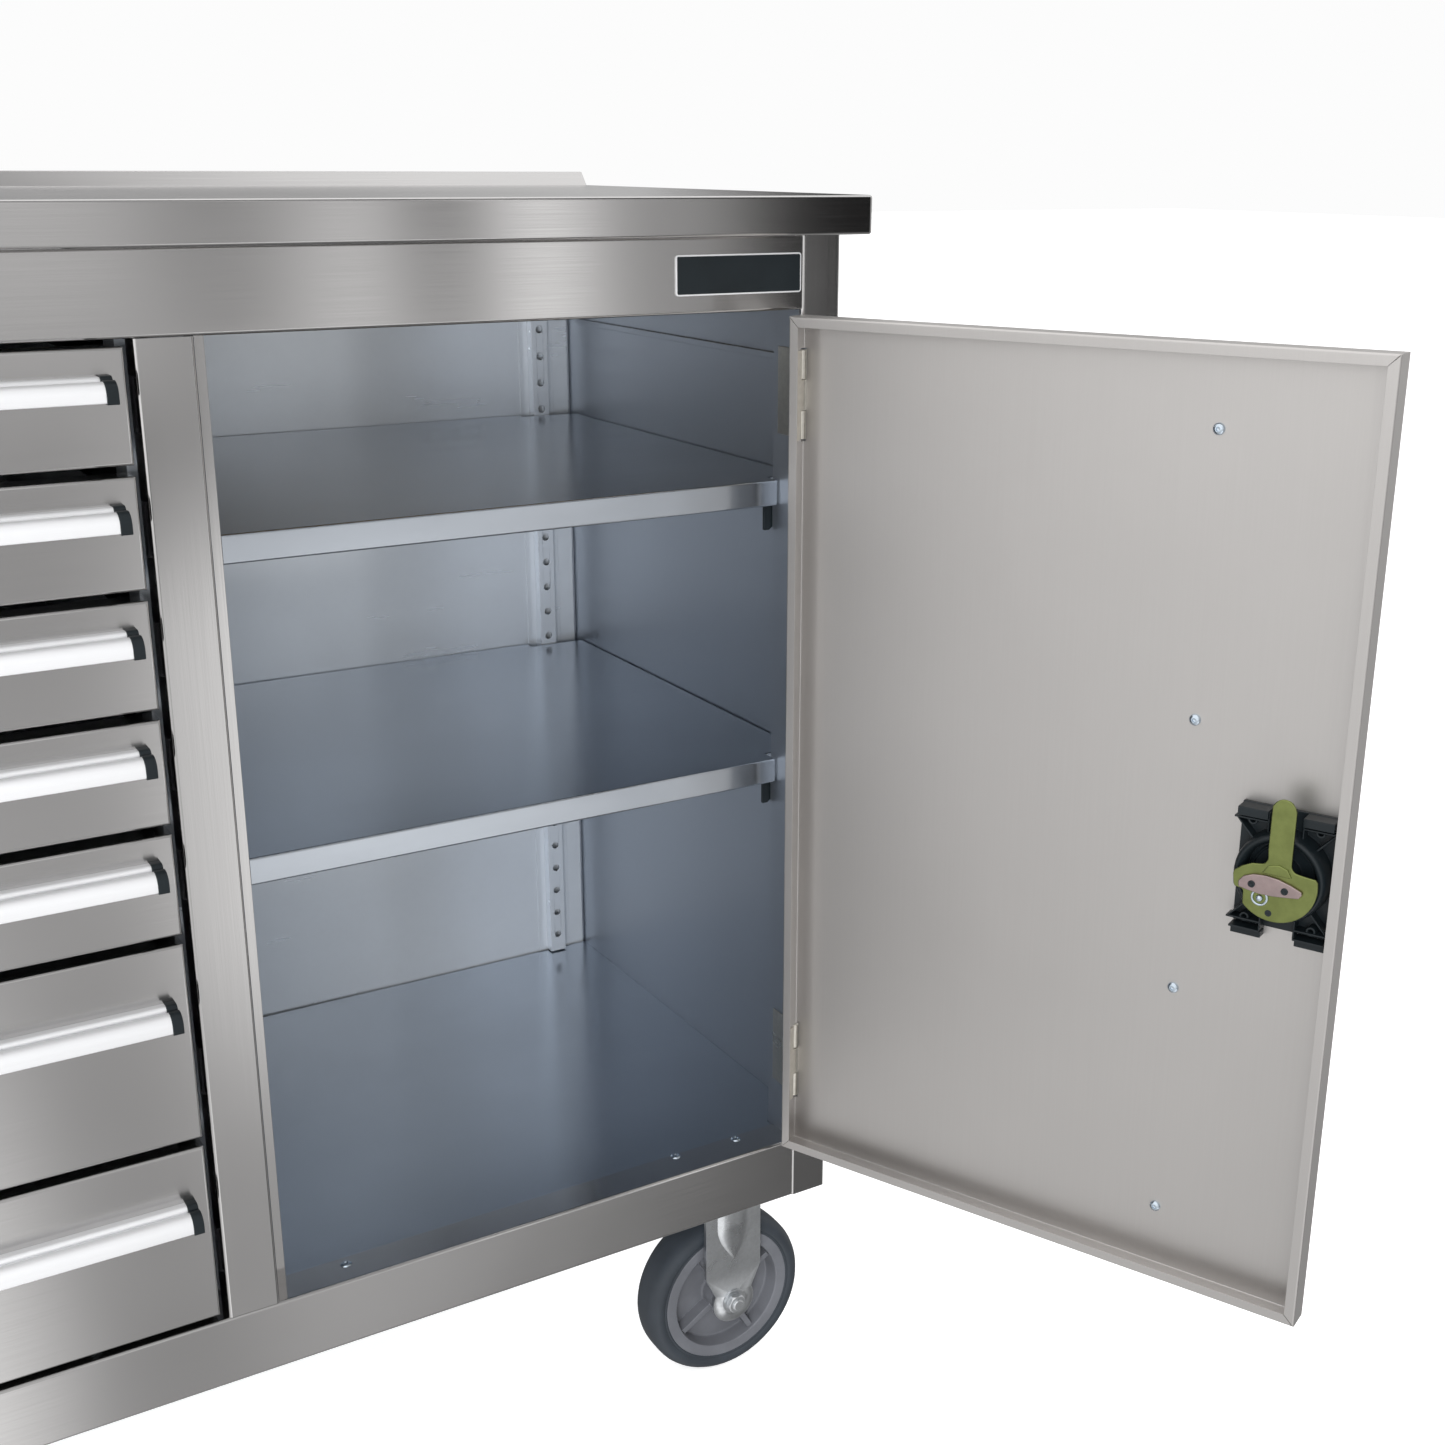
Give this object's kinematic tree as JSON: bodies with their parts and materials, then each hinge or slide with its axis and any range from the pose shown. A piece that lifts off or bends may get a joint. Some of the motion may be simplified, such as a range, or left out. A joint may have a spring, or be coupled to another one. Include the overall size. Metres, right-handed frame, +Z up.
{
  "type": "rolling tool chest",
  "caption": "Stainless steel rolling tool chest on casters, with a worktop, full-width drawers and a cupboard with shelves and a lockable hinged door.",
  "frame": {"origin": "on the floor, under the middle of the whole outline with the door standing open", "axes": "+X to the right seen from the front, +Y to the back, +Z up"},
  "size_m": [1.3621, 0.8559, 1.0115],
  "materials": {
    "stainless_brushed": "brushed, grain along each panel, satin",
    "galvanised_steel": "smooth zinc coated sheet, cool blue-grey satin",
    "drawer_steel": "satin grey coated sheet",
    "worktop_board": "raw board, hidden under the steel skin",
    "aluminium_satin": "satin anodised",
    "black_plastic": "moulded, satin",
    "zinc_plated_steel": "bright zinc plated",
    "slide_steel": "black coated, satin",
    "hinge_steel": "plain satin steel",
    "cam_passivated": "olive yellow passivated zinc",
    "caster_tyre": "charcoal rubber on a grey plastic wheel centre"
  },
  "bodies": {
    "root": {"worktop": "stainless_brushed", "worktop_core": "worktop_board", "side_panel_right": "stainless_brushed", "side_panel_left": "stainless_brushed", "back_panel": "galvanised_steel", "top_rail": "stainless_brushed", "bottom_rail": "stainless_brushed", "centre_stile": "stainless_brushed", "partition": "galvanised_steel", "base_frame": "galvanised_steel", "cupboard_floor": "galvanised_steel", "shelves": "galvanised_steel", "uprights": "galvanised_steel", "shelf_clips": "black_plastic", "slide_outer_members": "slide_steel", "hinge_frame_leaves": "hinge_steel", "rigid_forks": "zinc_plated_steel", "swivel_plates": "zinc_plated_steel"},
    "door": {"door_pan": "stainless_brushed", "door_handle": "aluminium_satin", "hinge_door_leaves": "hinge_steel", "lock_housing": "black_plastic"},
    "lock": {"lock_knob": "black_plastic", "lock_cam": "cam_passivated"},
    "drawer_1": {"drawer_1_front": "stainless_brushed", "drawer_1_box": "drawer_steel", "drawer_1_handle": "aluminium_satin"},
    "drawer_1_slide": {"drawer_1_slide_middle": "slide_steel"},
    "drawer_2": {"drawer_2_front": "stainless_brushed", "drawer_2_box": "drawer_steel", "drawer_2_handle": "aluminium_satin"},
    "drawer_2_slide": {"drawer_2_slide_middle": "slide_steel"},
    "drawer_3": {"drawer_3_front": "stainless_brushed", "drawer_3_box": "drawer_steel", "drawer_3_handle": "aluminium_satin"},
    "drawer_3_slide": {"drawer_3_slide_middle": "slide_steel"},
    "drawer_4": {"drawer_4_front": "stainless_brushed", "drawer_4_box": "drawer_steel", "drawer_4_handle": "aluminium_satin"},
    "drawer_4_slide": {"drawer_4_slide_middle": "slide_steel"},
    "drawer_5": {"drawer_5_front": "stainless_brushed", "drawer_5_box": "drawer_steel", "drawer_5_handle": "aluminium_satin"},
    "drawer_5_slide": {"drawer_5_slide_middle": "slide_steel"},
    "drawer_6": {"drawer_6_front": "stainless_brushed", "drawer_6_box": "drawer_steel", "drawer_6_handle": "aluminium_satin"},
    "drawer_6_slide": {"drawer_6_slide_middle": "slide_steel"},
    "drawer_7": {"drawer_7_front": "stainless_brushed", "drawer_7_box": "drawer_steel", "drawer_7_handle": "aluminium_satin"},
    "drawer_7_slide": {"drawer_7_slide_middle": "slide_steel"},
    "wheel_front_right": {"wheel_front_right": "caster_tyre"},
    "wheel_front_left": {"wheel_front_left": "caster_tyre"},
    "swivel_front": {"swivel_fork_front": "zinc_plated_steel"},
    "brake_front": {"brake_pedal_front": "zinc_plated_steel"},
    "wheel_rear_right": {"wheel_rear_right": "caster_tyre"},
    "wheel_rear_left": {"wheel_rear_left": "caster_tyre"},
    "swivel_rear": {"swivel_fork_rear": "zinc_plated_steel"},
    "brake_rear": {"brake_pedal_rear": "zinc_plated_steel"}
  },
  "joints": [
    {"name": "drawer_1_pull", "type": "slide", "parent": "root", "child": "drawer_1", "axis": [0, -1, 0], "range_m": [0, 0.38]},
    {"name": "drawer_1_slide_follow", "type": "slide", "parent": "root", "child": "drawer_1_slide", "axis": [0, -1, 0], "range_m": [0, 0.19]},
    {"name": "drawer_2_pull", "type": "slide", "parent": "root", "child": "drawer_2", "axis": [0, -1, 0], "range_m": [0, 0.38]},
    {"name": "drawer_2_slide_follow", "type": "slide", "parent": "root", "child": "drawer_2_slide", "axis": [0, -1, 0], "range_m": [0, 0.19]},
    {"name": "drawer_3_pull", "type": "slide", "parent": "root", "child": "drawer_3", "axis": [0, -1, 0], "range_m": [0, 0.38]},
    {"name": "drawer_3_slide_follow", "type": "slide", "parent": "root", "child": "drawer_3_slide", "axis": [0, -1, 0], "range_m": [0, 0.19]},
    {"name": "drawer_4_pull", "type": "slide", "parent": "root", "child": "drawer_4", "axis": [0, -1, 0], "range_m": [0, 0.38]},
    {"name": "drawer_4_slide_follow", "type": "slide", "parent": "root", "child": "drawer_4_slide", "axis": [0, -1, 0], "range_m": [0, 0.19]},
    {"name": "drawer_5_pull", "type": "slide", "parent": "root", "child": "drawer_5", "axis": [0, -1, 0], "range_m": [0, 0.38]},
    {"name": "drawer_5_slide_follow", "type": "slide", "parent": "root", "child": "drawer_5_slide", "axis": [0, -1, 0], "range_m": [0, 0.19]},
    {"name": "drawer_6_pull", "type": "slide", "parent": "root", "child": "drawer_6", "axis": [0, -1, 0], "range_m": [0, 0.38]},
    {"name": "drawer_6_slide_follow", "type": "slide", "parent": "root", "child": "drawer_6_slide", "axis": [0, -1, 0], "range_m": [0, 0.19]},
    {"name": "drawer_7_pull", "type": "slide", "parent": "root", "child": "drawer_7", "axis": [0, -1, 0], "range_m": [0, 0.38]},
    {"name": "drawer_7_slide_follow", "type": "slide", "parent": "root", "child": "drawer_7_slide", "axis": [0, -1, 0], "range_m": [0, 0.19]},
    {"name": "door_hinge", "type": "hinge", "parent": "root", "child": "door", "pos_m": [0.5035, -0.028, 0.592], "axis": [0, 0, 1], "range_deg": [-114.4, 65.6]},
    {"name": "lock_turn", "type": "hinge", "parent": "door", "child": "lock", "pos_m": [0.66246, -0.38085, 0.578], "axis": [-0.9107, -0.4131, 0], "range_deg": [-90, 0]},
    {"name": "wheel_front_right_roll", "type": "hinge", "parent": "root", "child": "wheel_front_right", "pos_m": [0.4735, 0.045, 0.075], "axis": [0, 1, 0], "continuous": true},
    {"name": "swivel_front_turn", "type": "hinge", "parent": "root", "child": "swivel_front", "pos_m": [-0.584, 0.045, 0.172], "axis": [0, 0, 1], "continuous": true},
    {"name": "wheel_front_left_roll", "type": "hinge", "parent": "swivel_front", "child": "wheel_front_left", "pos_m": [-0.549, 0.045, 0.075], "axis": [0, 1, 0], "continuous": true},
    {"name": "brake_front_press", "type": "hinge", "parent": "swivel_front", "child": "brake_front", "pos_m": [-0.522, 0.045, 0.158], "axis": [0, 1, 0], "range_deg": [0, 10]},
    {"name": "wheel_rear_right_roll", "type": "hinge", "parent": "root", "child": "wheel_rear_right", "pos_m": [0.4735, 0.354, 0.075], "axis": [0, 1, 0], "continuous": true},
    {"name": "swivel_rear_turn", "type": "hinge", "parent": "root", "child": "swivel_rear", "pos_m": [-0.584, 0.354, 0.172], "axis": [0, 0, 1], "continuous": true},
    {"name": "wheel_rear_left_roll", "type": "hinge", "parent": "swivel_rear", "child": "wheel_rear_left", "pos_m": [-0.549, 0.354, 0.075], "axis": [0, 1, 0], "continuous": true},
    {"name": "brake_rear_press", "type": "hinge", "parent": "swivel_rear", "child": "brake_rear", "pos_m": [-0.522, 0.354, 0.158], "axis": [0, 1, 0], "range_deg": [0, 10]}
  ],
  "couplings": [
    {"joint": "drawer_1_slide_follow", "follows": "drawer_1_pull", "ratio": 0.5},
    {"joint": "drawer_2_slide_follow", "follows": "drawer_2_pull", "ratio": 0.5},
    {"joint": "drawer_3_slide_follow", "follows": "drawer_3_pull", "ratio": 0.5},
    {"joint": "drawer_4_slide_follow", "follows": "drawer_4_pull", "ratio": 0.5},
    {"joint": "drawer_5_slide_follow", "follows": "drawer_5_pull", "ratio": 0.5},
    {"joint": "drawer_6_slide_follow", "follows": "drawer_6_pull", "ratio": 0.5},
    {"joint": "drawer_7_slide_follow", "follows": "drawer_7_pull", "ratio": 0.5}
  ]
}
